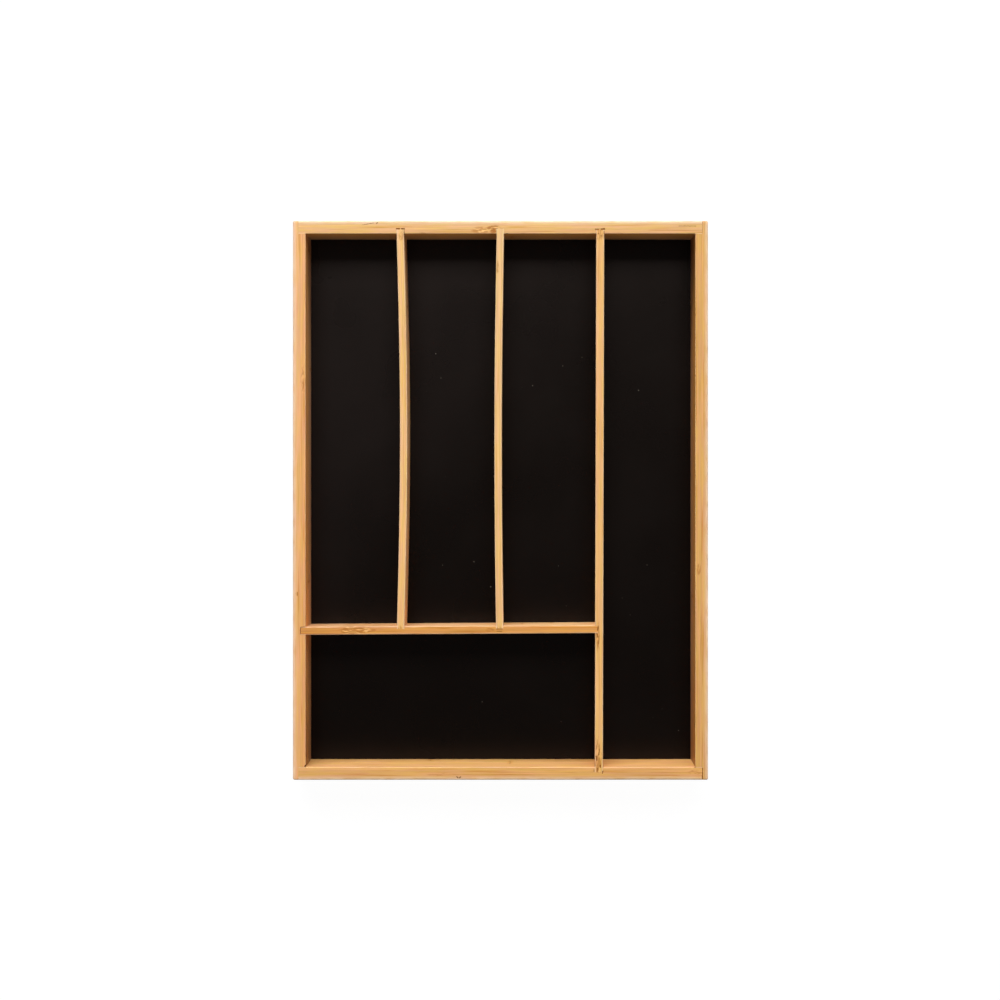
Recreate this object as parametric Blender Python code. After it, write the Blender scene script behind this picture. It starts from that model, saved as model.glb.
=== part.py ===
"""A bamboo cutlery tray: a rabbeted frame, four housed dividers and a base board in a groove.

Metres, +Z up. The origin is at the middle of the underside, and the front wall faces -Y. The
tray is glued up from nine boards. A board that enters another one takes out of it the room of
its own blank, grown by the fit, so that every housing follows the piece that it holds.
"""

import math

import bmesh
import bpy
from mathutils import Matrix, Vector

# Overall size
TRAY_LENGTH = 0.350
TRAY_WIDTH = 0.260
TRAY_HEIGHT = 0.050

# Thickness of the stock
WALL = 0.008
DIVIDER = 0.005  # the full-length divider and the cross divider
SPRUNG_DIVIDER = 0.0046  # the two thinner ones, which have sprung sideways
BASE = 0.003

# Middle lines of the dividers: x at the front and the back end, or y at the left and the right
LEFT_LINE = (-0.0625, -0.06275)
MIDDLE_LINE = (-0.0005, -0.0001)
RIGHT_LINE = (0.0616, 0.0625)
CROSS_LINE = (-0.0817, -0.0806)

# How far each sprung divider stands off its line at its middle, towards +X
LEFT_BOW = 0.0020
MIDDLE_BOW = -0.0012

# How far a leaning divider's lower edge stands off its top, towards +X and towards -Y
RIGHT_LEAN = 0.0012
CROSS_LEAN = 0.0008

# Joinery
CORNER_LIP = 0.0035  # what a corner rabbet leaves of a side wall, outside the end wall
WALL_HOUSING = 0.0035  # depth of a divider's housing in a wall
DIVIDER_HOUSING = 0.0020  # depth of a divider's housing in another divider
BASE_GROOVE = 0.0040  # depth of the walls' groove for the base board
BASE_LIFT = 0.0050  # from the table up to the underside of the base board
FIT = 0.0003  # gap between a seated piece and what holds it

# Eased edges
OUTER_EASE = 0.0010  # radius round the outside of the frame
RIM_EASE = 0.0005  # radius along the inside of the rim and the tops of the dividers
EASE_STEPS = 3
BOW_STEPS = 24

# Where things lie, from the middle of the tray
INSIDE_X = TRAY_WIDTH / 2 - WALL
INSIDE_Y = TRAY_LENGTH / 2 - WALL
BASE_TOP = BASE_LIFT + BASE
SLAT_BOTTOM = BASE_TOP + FIT
END_WALL_LENGTH = TRAY_WIDTH - 2 * (CORNER_LIP + FIT)

PIECES = "cutlery_tray"
CUTTERS = "cutters"


def screen_colour(red, green, blue):
    """A colour as seen on a screen, 0 to 255, as the linear one that a shader takes."""
    shares = [channel / 255 for channel in (red, green, blue)]
    return [s / 12.92 if s <= 0.04045 else ((s + 0.055) / 1.055) ** 2.4 for s in shares] + [1.0]


def finish(piece, colour, roughness):
    material = bpy.data.materials.new("finish_" + piece.name)
    material.use_nodes = True
    shader = material.node_tree.nodes["Principled BSDF"]
    shader.inputs["Base Color"].default_value = colour
    shader.inputs["Roughness"].default_value = roughness
    shader.inputs["Metallic"].default_value = 0.0
    piece.data.materials.append(material)


def box(low, high):
    """A box between two opposite corners."""
    low, high = Vector(low), Vector(high)
    shape = bmesh.new()
    matrix = Matrix.Translation((low + high) / 2) @ Matrix.Diagonal((*(high - low), 1.0))
    bmesh.ops.create_cube(shape, size=1.0, matrix=matrix)
    return shape


def board(length, thickness, bottom):
    """A board on edge, centred along Y, from its bottom up to the rim."""
    half = Vector((thickness / 2, length / 2))
    return box((-half.x, -half.y, bottom), (half.x, half.y, TRAY_HEIGHT))


def split(shape, stations):
    """Cuts a board's faces across at each station along it."""
    for y in stations:
        everything = shape.verts[:] + shape.edges[:] + shape.faces[:]
        bmesh.ops.bisect_plane(shape, geom=everything, plane_co=(0, y, 0), plane_no=(0, 1, 0))


def near(first, second, within=1e-6):
    return abs(first - second) < within


def at_wall_edge(height):
    """True at the rim and at the underside of a wall."""
    return near(height, TRAY_HEIGHT) or near(height, 0)


def ease(shape, radius, chosen):
    """Rounds the edges that pass the test, which is given each edge's middle and whether it
    runs along the board."""
    edges = []
    for edge in shape.edges:
        start, end = (corner.co for corner in edge.verts)
        if chosen((start + end) / 2, near(start.x, end.x) and near(start.z, end.z)):
            edges.append(edge)
    bmesh.ops.bevel(
        shape,
        geom=edges,
        offset=radius,
        segments=EASE_STEPS,
        profile=0.5,
        affect="EDGES",
        clamp_overlap=True,
    )


def place(name, shape, centre=(0, 0), turn=0.0, group=PIECES):
    """Makes the object, centred at a point in plan and turned about Z."""
    mesh = bpy.data.meshes.new(name)
    shape.to_mesh(mesh)
    shape.free()
    piece = bpy.data.objects.new(name, mesh)
    piece.location = (*centre, 0)
    piece.rotation_euler.z = turn
    bpy.data.collections[group].objects.link(piece)
    return piece


def cut(hosts, name, shape, centre, turn):
    """Takes a shape out of each host."""
    cutter = place(name, shape, centre, turn, CUTTERS)
    for host in hosts:
        modifier = host.modifiers.new(name, "BOOLEAN")
        modifier.operation = "DIFFERENCE"
        modifier.solver = "EXACT"
        modifier.object = cutter


def side_wall():
    """A full-length wall. Local +X is its outside, and its ends show at the tray's corners."""
    shape = board(TRAY_LENGTH, WALL, 0)

    def outside(middle, lengthwise):
        across_end = near(abs(middle.y), TRAY_LENGTH / 2) and at_wall_edge(middle.z)
        return near(middle.x, WALL / 2) or across_end

    def inside(middle, lengthwise):
        return near(middle.x, -WALL / 2) and lengthwise

    ease(shape, OUTER_EASE, outside)
    ease(shape, RIM_EASE, inside)
    return shape


def end_wall():
    """A wall between the side walls' lips. Its inside edges are eased only where they show."""
    shape = board(END_WALL_LENGTH, WALL, 0)
    stop = INSIDE_X - RIM_EASE
    split(shape, (-stop, stop))

    def outside(middle, lengthwise):
        return near(middle.x, WALL / 2) and lengthwise

    def inside(middle, lengthwise):
        return near(middle.x, -WALL / 2) and lengthwise and abs(middle.y) < stop

    ease(shape, OUTER_EASE, outside)
    ease(shape, RIM_EASE, inside)
    return shape


def base_groove(length):
    """One pass of a saw along the inside of a wall, out at both ends."""
    return box(
        (-WALL, -length, BASE_LIFT - FIT),
        (-WALL / 2 + BASE_GROOVE, length, BASE_TOP + FIT),
    )


def corner_rabbet():
    """The room of an end wall in both side walls, out through the top, bottom and outside."""
    half = END_WALL_LENGTH / 2 + FIT
    return box((-WALL / 2 - FIT, -half, -WALL), (WALL, half, TRAY_HEIGHT + WALL))


def lean_over(shape, lean):
    """Leans a divider, or the room for one, about its top."""
    for corner in shape.verts:
        corner.co.x += lean * (TRAY_HEIGHT - corner.co.z) / (TRAY_HEIGHT - SLAT_BOTTOM)
    return shape


def slat(length, thickness, depths, bow):
    """A divider. Between its housings its top is eased and its line springs sideways."""
    shape = board(length, thickness, SLAT_BOTTOM)
    start = depths[0] - length / 2
    end = length / 2 - depths[1]
    first, last = start + RIM_EASE, end - RIM_EASE
    steps = BOW_STEPS if bow else 1
    split(shape, [first + (last - first) * step / steps for step in range(steps + 1)])

    def top_edge(middle, lengthwise):
        return lengthwise and near(middle.z, TRAY_HEIGHT) and first < middle.y < last

    ease(shape, RIM_EASE, top_edge)
    for corner in shape.verts:
        share = (corner.co.y - start) / (end - start)
        if 0 < share < 1:
            corner.co.x += bow * math.sin(math.pi * share)
    return shape


def slat_housing(length, thickness):
    """The room of a divider in what holds its ends, open at the rim and at the underside."""
    half = Vector((thickness / 2 + FIT, length / 2 + FIT))
    return box((-half.x, -half.y, -WALL), (half.x, half.y, TRAY_HEIGHT + WALL))


def build_walls():
    """Four walls, each grooved for the base, and the rabbets that the end walls seat in."""
    side = TRAY_WIDTH / 2 - WALL / 2
    end = TRAY_LENGTH / 2 - WALL / 2
    quarter = math.pi / 2
    plan = {
        "right_wall": (side_wall, (side, 0), 0),
        "back_wall": (end_wall, (0, end), quarter),
        "left_wall": (side_wall, (-side, 0), 2 * quarter),
        "front_wall": (end_wall, (0, -end), 3 * quarter),
    }
    walls = {}
    for name, (shape, centre, turn) in plan.items():
        walls[name] = place(name, shape(), centre, turn)
        cut([walls[name]], "groove_" + name, base_groove(TRAY_LENGTH), centre, turn)
    sides = walls["left_wall"], walls["right_wall"]
    for name in ("back_wall", "front_wall"):
        cut(sides, "rabbet_" + name, corner_rabbet(), *plan[name][1:])
    return walls


def build_slat(name, ends, thickness, depths, hosts, bow=0.0, lean=0.0):
    """A divider between two points in plan, and its housing in each host."""
    start, end = (Vector(point) for point in ends)
    run = end - start
    centre = (start + end) / 2
    turn = -math.atan2(run.x, run.y)
    shape = lean_over(slat(run.length, thickness, depths, bow), lean)
    piece = place(name, shape, centre, turn)
    room = lean_over(slat_housing(run.length, thickness), lean)
    cut(hosts, "housing_" + name, room, centre, turn)
    return piece


def between(place, first, last, values):
    """The value at a place on a line that has these two values at its ends."""
    return values[0] + (values[1] - values[0]) * (place - first) / (last - first)


def build_dividers(walls):
    """The full-length divider, then the one across that it carries, then the two sprung ones."""
    in_wall = WALL_HOUSING - FIT
    in_slat = DIVIDER_HOUSING - FIT
    back = INSIDE_Y + in_wall
    right = build_slat(
        "divider_right",
        ((RIGHT_LINE[0], -back), (RIGHT_LINE[1], back)),
        DIVIDER,
        (in_wall, in_wall),
        (walls["front_wall"], walls["back_wall"]),
        lean=RIGHT_LEAN,
    )
    west = -INSIDE_X - in_wall
    east = between(CROSS_LINE[1], -back, back, RIGHT_LINE) - DIVIDER / 2 + in_slat
    across = build_slat(
        "cross_divider",
        ((west, CROSS_LINE[0]), (east, CROSS_LINE[1])),
        DIVIDER,
        (in_wall, in_slat),
        (walls["left_wall"], right),
        lean=CROSS_LEAN,
    )
    hosts = (across, walls["back_wall"])
    for name, line, bow in (
        ("divider_left", LEFT_LINE, LEFT_BOW),
        ("divider_middle", MIDDLE_LINE, MIDDLE_BOW),
    ):
        front = between(line[0], west, east, CROSS_LINE) + DIVIDER / 2 - in_slat
        ends = ((line[0], front), (line[1], back))
        build_slat(name, ends, SPRUNG_DIVIDER, (in_slat, in_wall), hosts, bow)


def build_base():
    """The base board, held in the groove on all four sides."""
    x, y = (inside + BASE_GROOVE - FIT for inside in (INSIDE_X, INSIDE_Y))
    place("base_panel", box((-x, -y, BASE_LIFT), (x, y, BASE_TOP)))


def finish_pieces():
    """Nine finishes: each bamboo board is a little lighter or darker than the next."""
    bamboo = {
        "left_wall": (231, 179, 117),
        "right_wall": (220, 168, 104),
        "back_wall": (235, 186, 126),
        "front_wall": (217, 165, 101),
        "divider_left": (236, 187, 128),
        "divider_middle": (235, 190, 127),
        "divider_right": (233, 183, 117),
        "cross_divider": (213, 154, 85),
    }
    for name, colour in bamboo.items():
        finish(bpy.data.objects[name], screen_colour(*colour), roughness=0.5)
    finish(bpy.data.objects["base_panel"], screen_colour(24, 19, 16), roughness=0.45)


def gather():
    """Hangs everything on one empty at the tray's origin, and hides the cutters."""
    origin = bpy.data.objects.new("tray_origin", None)
    for group in (PIECES, CUTTERS):
        for thing in bpy.data.collections[group].objects:
            thing.parent = origin
    bpy.data.collections[PIECES].objects.link(origin)
    for cutter in bpy.data.collections[CUTTERS].objects:
        cutter.hide_render = True
        cutter.display_type = "WIRE"


def main():
    for thing in list(bpy.data.objects):
        bpy.data.objects.remove(thing, do_unlink=True)
    for group in (PIECES, CUTTERS):
        bpy.context.scene.collection.children.link(bpy.data.collections.new(group))
    build_dividers(build_walls())
    build_base()
    finish_pieces()
    gather()


main()
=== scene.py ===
import math

import bmesh
import bpy
from mathutils import Matrix, Vector, noise


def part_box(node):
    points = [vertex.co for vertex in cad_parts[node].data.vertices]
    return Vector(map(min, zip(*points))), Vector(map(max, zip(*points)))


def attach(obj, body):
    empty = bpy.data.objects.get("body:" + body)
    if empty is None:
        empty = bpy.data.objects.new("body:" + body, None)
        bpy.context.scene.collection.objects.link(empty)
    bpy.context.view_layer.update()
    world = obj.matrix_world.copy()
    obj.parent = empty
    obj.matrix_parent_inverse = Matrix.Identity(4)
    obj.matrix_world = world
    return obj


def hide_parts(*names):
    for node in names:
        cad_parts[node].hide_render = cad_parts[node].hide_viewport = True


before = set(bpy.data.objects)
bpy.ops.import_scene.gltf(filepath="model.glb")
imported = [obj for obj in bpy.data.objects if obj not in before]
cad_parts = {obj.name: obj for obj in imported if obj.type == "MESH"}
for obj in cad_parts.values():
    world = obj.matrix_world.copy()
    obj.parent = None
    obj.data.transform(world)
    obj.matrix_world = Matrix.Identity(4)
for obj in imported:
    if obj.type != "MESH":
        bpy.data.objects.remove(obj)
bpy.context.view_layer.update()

# The tray's looks. Every bamboo board is made again, with closed joints, arrises that vary as
# hand sanding leaves them, and a grain of laminated strips that runs along it. The black base
# keeps its solid and gets its coating. Metres, except where a name or a comment says otherwise.

MM = 0.001

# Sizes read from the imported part
LEFT_LOW, LEFT_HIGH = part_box("left_wall")
BASE_LOW, BASE_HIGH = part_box("base_panel")
TRAY_WIDTH = -2 * LEFT_LOW.x
TRAY_LENGTH = LEFT_HIGH.y - LEFT_LOW.y
TRAY_HEIGHT = LEFT_HIGH.z
WALL = LEFT_HIGH.x - LEFT_LOW.x
SLAT_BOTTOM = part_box("divider_right")[0].z
INSIDE_X = TRAY_WIDTH / 2 - WALL
INSIDE_Y = TRAY_LENGTH / 2 - WALL

# Sizes that a box doesn't give, as in the part
DIVIDER = 0.005
SPRUNG_DIVIDER = 0.0046
SPRUNG_ONES = ("divider_left", "divider_middle")
CORNER_LIP = 0.0035
BASE_GROOVE = 0.0040
IN_WALL = 0.0032  # how far a divider's end goes into a wall
IN_SLAT = 0.0017  # how far it goes into another divider
LEFT_LINE = (-0.0625, -0.06275)
MIDDLE_LINE = (-0.0005, -0.0001)
RIGHT_LINE = (0.0616, 0.0625)
CROSS_LINE = (-0.0817, -0.0806)
LEFT_BOW = 0.0020
MIDDLE_BOW = -0.0012
RIGHT_LEAN = 0.0012
CROSS_LEAN = 0.0008

# Arrises
OUTER_EASE = 0.0010
RIM_EASE = 0.0005
ARRIS_STEPS = 6
SANDING = 0.22  # share by which the sanding changes an arris
SLOW_SANDING = 28  # how often that comes and goes in a metre, slowly and quickly
QUICK_SANDING = 170
QUICK_SHARE = 0.6
SECOND_ARRIS = 0.5  # what a board's second long arris adds to its seed
STATION = 0.0016  # distance between the rings of a board
NICK_LENGTH = 0.0009
SHADE_ANGLE = math.radians(30)
FLAT = 0.999  # a face whose normal is this much along one axis is a plain side, not an arris
END_FACING = 0.7  # a face whose normal is this much along its board shows end grain
SAME_POINT = 1e-6
SAME_STATION = 1e-9

# Joint lines
TIGHT = 0.00004
OUTLINE_STEP = 0.0006  # distance between the points that make a joint's wall uneven
CHIP_STEP = 0.00022
RAGGED = 0.00016  # how far a chip's sides bulge
CORNER_ROUGH = 0.00004  # how far the sides of a corner's joint do
LUMPS = 900  # how often a side bulges in a metre
LUMP_MIDDLE = 0.35  # how much of that bulge a side has on average, and how much more or less
LUMP_SWING = 1.3


def screen(red, green, blue):
    """A colour as seen on a screen, 0 to 255, as the linear one that a shader takes."""
    shares = [channel / 255 for channel in (red, green, blue)]
    return (*(s / 12.92 if s <= 0.04045 else ((s + 0.055) / 1.055) ** 2.4 for s in shares), 1.0)


# The boards


def sanded(radius, along, seed, nicks=()):
    """An arris radius at a place along a board: more or less sanded off, and more at a nick."""
    slow = noise.noise(Vector((along * SLOW_SANDING, seed * 3.1, 0.4)))
    quick = noise.noise(Vector((along * QUICK_SANDING, seed * 5.7, 2.3)))
    here = radius * (1 + SANDING * (slow + QUICK_SHARE * quick))
    for place, depth in nicks:
        here += depth * MM * math.exp(-(((along - place * MM) / NICK_LENGTH) ** 2))
    return here


def arris(corner, radius, start):
    """A quarter turn of a section, as across and up, from an angle in degrees on."""
    middle = math.radians(start + 45)
    across = corner[0] - math.copysign(radius, math.cos(middle))
    up = corner[1] - math.copysign(radius, math.sin(middle))
    turns = (math.radians(start + 90 * step / ARRIS_STEPS) for step in range(ARRIS_STEPS + 1))
    return [(across + radius * math.cos(turn), up + radius * math.sin(turn)) for turn in turns]


def loft(section_at, stations):
    """A closed board through its sections along Y."""
    shape = bmesh.new()
    shape.faces.layers.float.new("bared")
    rings = [[shape.verts.new((x, y, z)) for x, z in section_at(y)] for y in stations]
    for ring, following in zip(rings, rings[1:]):
        for first, second in zip(range(-1, len(ring)), range(len(ring))):
            shape.faces.new((ring[first], ring[second], following[second], following[first]))
    shape.faces.new(rings[0])
    shape.faces.new(rings[-1])
    bmesh.ops.remove_doubles(shape, verts=shape.verts[:], dist=SAME_POINT)
    bmesh.ops.recalc_face_normals(shape, faces=shape.faces[:])
    return shape


def spread(start, end, step):
    """Evenly spread stations from start to end, both included."""
    count = max(1, round((end - start) / step))
    return [start + (end - start) * number / count for number in range(count + 1)]


def wall_section(half, low, high, outer, inner):
    """A wall's section: its outside is at +half, and the groove for the base is in its inside."""
    inside = -WALL / 2
    return [
        *arris((half, low), outer, -90),
        *arris((half, high), outer, 0),
        *arris((inside, high), inner, 90),
        (inside, BASE_HIGH.z + TIGHT),
        (inside + BASE_GROOVE, BASE_HIGH.z + TIGHT),
        (inside + BASE_GROOVE, BASE_LOW.z - TIGHT),
        (inside, BASE_LOW.z - TIGHT),
        *arris((inside, low), inner, 180),
    ]


def side_wall(seed, nicks):
    """A full-length wall, rounded over at its ends, which show at the tray's corners."""
    last = TRAY_LENGTH / 2
    turns = (math.radians(90 * step / ARRIS_STEPS) for step in range(1, ARRIS_STEPS))
    ends = [last - OUTER_EASE + OUTER_EASE * math.sin(turn) for turn in turns] + [last]
    middle = spread(-last + OUTER_EASE, last - OUTER_EASE, STATION)
    stations = [-end for end in reversed(ends)] + middle + ends

    def section(along):
        past = max(0.0, abs(along) - (last - OUTER_EASE))
        inset = OUTER_EASE - math.sqrt(max(0.0, OUTER_EASE**2 - past**2))
        outer = max(0.0, sanded(OUTER_EASE, along, seed) - inset)
        inner = sanded(RIM_EASE, along, seed + SECOND_ARRIS, nicks)
        return wall_section(WALL / 2 - inset, inset, TRAY_HEIGHT - inset, outer, inner)

    return loft(section, stations)


def end_wall(seed, nicks, gaps):
    """A wall between the side walls' lips. Its inside arrises stop where the side walls begin."""
    first = -TRAY_WIDTH / 2 + CORNER_LIP + gaps[0]
    last = TRAY_WIDTH / 2 - CORNER_LIP - gaps[1]
    stop = INSIDE_X - RIM_EASE
    stations = [first, -stop - RIM_EASE, *spread(-stop, stop, STATION), stop + RIM_EASE, last]

    def section(along):
        outer = sanded(OUTER_EASE, along, seed)
        eased = abs(along) <= stop + SAME_STATION
        inner = sanded(RIM_EASE, along, seed + SECOND_ARRIS, nicks) if eased else 0.0
        return wall_section(WALL / 2, 0.0, TRAY_HEIGHT, outer, inner)

    return loft(section, stations)


def slat(seed, nicks, length, thickness, depths, bow, lean):
    """A divider. Its top is eased between its housings, and it springs sideways or leans."""
    start, end = depths[0] - length / 2, length / 2 - depths[1]
    first, last = start + RIM_EASE, end - RIM_EASE
    stations = [-length / 2, start, *spread(first, last, STATION), end, length / 2]

    def section(along):
        right = left = 0.0
        if first - SAME_STATION <= along <= last + SAME_STATION:
            right = sanded(RIM_EASE, along, seed, nicks)
            left = sanded(RIM_EASE, along, seed + SECOND_ARRIS, nicks)
        half = thickness / 2
        points = [(half, SLAT_BOTTOM), *arris((half, TRAY_HEIGHT), right, 0)]
        points += [*arris((-half, TRAY_HEIGHT), left, 90), (-half, SLAT_BOTTOM)]
        shift = sprung(along, start, end, bow)
        return [(across + shift + leaning(up, lean), up) for across, up in points]

    return loft(section, stations)


def sprung(along, start, end, bow):
    """How far a sprung divider stands off its line."""
    share = min(1.0, max(0.0, (along - start) / (end - start)))
    return bow * math.sin(math.pi * share)


def leaning(up, lean):
    """How far a leaning divider stands off its top, at a height."""
    return lean * (TRAY_HEIGHT - up) / (TRAY_HEIGHT - SLAT_BOTTOM)


def uneven_prism(low, high, roughs, seed, bottom=-WALL, lean=0.0, step=OUTLINE_STEP):
    """The room that a joint or a chip takes: a box in plan whose sides bulge out from place to
    place, from its bottom to above the tray. The sides run start, right, end, left. Its faces
    are marked, so that the wood that they lay bare is known."""
    corners = [low, (high[0], low[1]), high, (low[0], high[1])]
    outline = []
    for number, corner in enumerate(corners):
        start, end = Vector(corner), Vector(corners[(number + 1) % 4])
        outward = Vector((end.y - start.y, start.x - end.x)).normalized()
        points = spread(0.0, (end - start).length, step)
        for place in points[:-1]:
            point = start + (end - start).normalized() * place
            lump = noise.noise(Vector((point.x * LUMPS, point.y * LUMPS, seed * 4.3 + number)))
            bulge = roughs[number] * max(0.0, LUMP_MIDDLE + LUMP_SWING * lump) * (place > 0)
            outline.append(point + outward * bulge)
    shape = bmesh.new()
    rings = [
        [shape.verts.new((point.x + leaning(level, lean), point.y, level)) for point in outline]
        for level in (bottom, TRAY_HEIGHT + WALL)
    ]
    for first, second in zip(range(-1, len(outline)), range(len(outline))):
        shape.faces.new((rings[0][first], rings[0][second], rings[1][second], rings[1][first]))
    for ring in rings:
        shape.faces.new(ring)
    bared = shape.faces.layers.float.new("bared")
    for face in shape.faces:
        face[bared] = 1.0
    bmesh.ops.recalc_face_normals(shape, faces=shape.faces[:])
    return shape


def add(name, data):
    """A new object in the scene."""
    thing = bpy.data.objects.new(name, data)
    bpy.context.scene.collection.objects.link(thing)
    return thing


def make(name, shape, place):
    """An object with that mesh, in that place."""
    mesh = bpy.data.meshes.new(name)
    shape.to_mesh(mesh)
    shape.free()
    piece = add(name, mesh)
    piece.matrix_world = place
    return piece


def plan(centre, turn):
    """Where a board lies: centred at a point in plan, and turned about Z."""
    return Matrix.Translation((*centre, 0)) @ Matrix.Rotation(turn, 4, "Z")


def cut(hosts, shape, place):
    """Takes a joint's room out of each host."""
    cutter = make("cutter", shape, place)
    for host in hosts:
        modifier = host.modifiers.new("joint", "BOOLEAN")
        modifier.operation = "DIFFERENCE"
        modifier.solver = "EXACT"
        modifier.object = cutter
    return cutter


def settle(pieces, cutters):
    """Works the joints into the meshes, and takes the cutters away."""
    bpy.context.view_layer.update()
    depsgraph = bpy.context.evaluated_depsgraph_get()
    finished = {
        name: bpy.data.meshes.new_from_object(piece.evaluated_get(depsgraph))
        for name, piece in pieces.items()
    }
    for name, piece in pieces.items():
        rough = piece.data
        piece.modifiers.clear()
        piece.data = finished[name]
        bpy.data.meshes.remove(rough)
        piece.data.name = piece.name
    for cutter in cutters:
        bpy.data.meshes.remove(cutter.data)


def dress(piece, bend=(0.0, 1.0, 0.0), lean=0.0):
    """Stores each point's place in the straight board, in millimetres, marks the end grain, and
    shades the arrises smooth."""
    mesh = piece.data
    grain = mesh.attributes.new("grain_place", "FLOAT_VECTOR", "POINT")
    for number, vertex in enumerate(mesh.vertices):
        across = vertex.co.x - sprung(vertex.co.y, *bend) - leaning(vertex.co.z, lean)
        grain.data[number].vector = Vector((across, vertex.co.y, vertex.co.z)) / MM
    ends = mesh.attributes.new("end_grain", "FLOAT", "FACE")
    mesh.set_sharp_from_angle(angle=SHADE_ANGLE)
    for number, face in enumerate(mesh.polygons):
        ends.data[number].value = float(abs(face.normal.y) > END_FACING)
        face.use_smooth = max(abs(part) for part in face.normal) < FLAT


# Where small nicks break an inner arris: along the board, and how much deeper, in millimetres
NICKS = {
    "left_wall": ((-155.5, 0.25), (38.0, 0.2), (121.0, 0.25)),
    "right_wall": ((-166.0, 0.45), (-163.2, 0.35), (-71.0, 0.2), (102.0, 0.25)),
    "back_wall": ((48.2, 0.45), (50.0, 0.4), (-14.0, 0.25), (-92.0, 0.2)),
    "front_wall": ((119.5, 0.4), (24.0, 0.2), (-66.0, 0.25)),
    "divider_left": ((74.0, 0.25), (-36.0, 0.2)),
    "divider_middle": ((103.0, 0.25), (-88.0, 0.2)),
    "divider_right": ((150.0, 0.3), (-88.0, 0.3), (12.0, 0.2)),
    "cross_divider": ((-22.0, 0.25), (58.0, 0.25)),
}

SIDE_LINE = TRAY_WIDTH / 2 - WALL / 2
END_LINE = TRAY_LENGTH / 2 - WALL / 2
QUARTER = math.pi / 2
WALL_PLACES = {
    "right_wall": plan((SIDE_LINE, 0), 0),
    "back_wall": plan((0, END_LINE), QUARTER),
    "left_wall": plan((-SIDE_LINE, 0), 2 * QUARTER),
    "front_wall": plan((0, -END_LINE), 3 * QUARTER),
}
# How open the corners' glue lines are, at each end wall's own start and end: those at the tray's
# right show, and those at its left are closed
CORNER_GAPS = {
    "back_wall": (0.00010, 0.00001),
    "front_wall": (0.00001, 0.00006),
}
SEEDS = {name: 1.7 * number + 0.6 for number, name in enumerate(NICKS)}

# Chips and tears in the rims, where the chisel and the saw slipped or a knuckle tore: boards,
# place in plan, length, width and depth in millimetres, and turn in degrees
CHIPS = (
    (("back_wall", "divider_left"), (-64.2, 170.1), 2.4, 0.85, 0.16, 0),
    (("back_wall", "divider_left"), (-61.0, 170.1), 2.4, 0.85, 0.16, 0),
    (("back_wall", "divider_left"), (-60.3, 168.4), 2.2, 0.34, 0.16, 88),
    (("back_wall", "divider_right"), (60.4, 169.7), 2.4, 0.85, 0.16, -4),
    (("back_wall", "divider_right"), (64.2, 169.9), 2.6, 0.85, 0.16, 5),
    (("back_wall", "divider_right"), (64.9, 167.8), 2.0, 0.34, 0.16, 86),
    (("divider_right",), (61.2, 167.0), 1.0, 0.40, 0.12, 70),
    (("divider_right",), (63.0, 165.6), 1.2, 0.36, 0.12, 95),
    (("back_wall",), (-77.3, 173.6), 1.2, 0.55, 0.4, 25),
    (("back_wall",), (-83.0, 173.1), 8.0, 0.16, 0.12, 10),
    (("back_wall",), (117.0, 171.8), 11.0, 0.18, 0.12, 0),
    (("back_wall",), (4.0, 166.9), 1.6, 0.50, 0.9, 10),
    (("left_wall", "cross_divider"), (-125.25, -81.5), 3.8, 0.30, 0.16, 89),
    (("left_wall", "cross_divider"), (-123.6, -79.2), 2.8, 0.28, 0.16, 1),
    (("divider_right", "cross_divider"), (61.0, -80.2), 2.8, 0.55, 0.16, 82),
    (("divider_right",), (60.7, -84.4), 3.0, 0.55, 0.16, 98),
    (("divider_right",), (61.6, -88.6), 2.8, 0.30, 0.12, 86),
    (("cross_divider", "divider_middle"), (-0.6, -80.6), 3.8, 0.28, 0.16, 0),
    (("cross_divider",), (-0.6, -81.9), 3.4, 0.30, 0.12, 0),
    (("divider_right",), (60.1, -161.4), 2.8, 0.70, 0.16, 98),
    (("divider_right",), (61.8, -157.6), 4.0, 0.45, 0.12, 86),
    (("front_wall", "divider_right"), (62.6, -166.4), 1.8, 0.70, 0.16, 92),
    (("front_wall", "divider_right"), (60.8, -168.4), 2.0, 0.40, 0.16, 84),
    (("front_wall", "divider_right"), (64.0, -170.2), 1.8, 0.55, 0.16, 75),
    (("front_wall",), (58.6, -169.0), 1.6, 0.26, 0.16, 88),
    (("front_wall",), (-26.9, -173.3), 1.5, 0.50, 0.8, -50),
    (("front_wall",), (-25.3, -173.4), 1.4, 0.50, 0.8, 45),
    (("front_wall", "right_wall"), (121.2, -166.4), 2.2, 0.55, 0.35, -48),
    (("front_wall", "right_wall"), (126.5, -171.2), 7.6, 0.42, 0.16, 90),
    (("left_wall",), (-122.4, -166.2), 1.2, 0.60, 2, 70),
)


def between(place, first, last, values):
    """The value at a place on a line that has these two values at its ends."""
    return values[0] + (values[1] - values[0]) * (place - first) / (last - first)


# How open each divider's housings are beyond its start and its end, and how far their sides
# bulge: at its start, to its right, at its end and to its left
HOUSINGS = {
    "divider_right": ((0.00002, 0.00003), (0.00008, 0.00010, 0.00006, 0.00008)),
    "cross_divider": ((0.00008, 0.00002), (0.00008, 0.00008, 0.00006, 0.00012)),
    "divider_left": ((0.00001, 0.00004), (0.00006, 0.00008, 0.00006, 0.00003)),
    "divider_middle": ((0.00002, 0.00002), (0.00006, 0.00008, 0.00006, 0.00003)),
}


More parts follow.
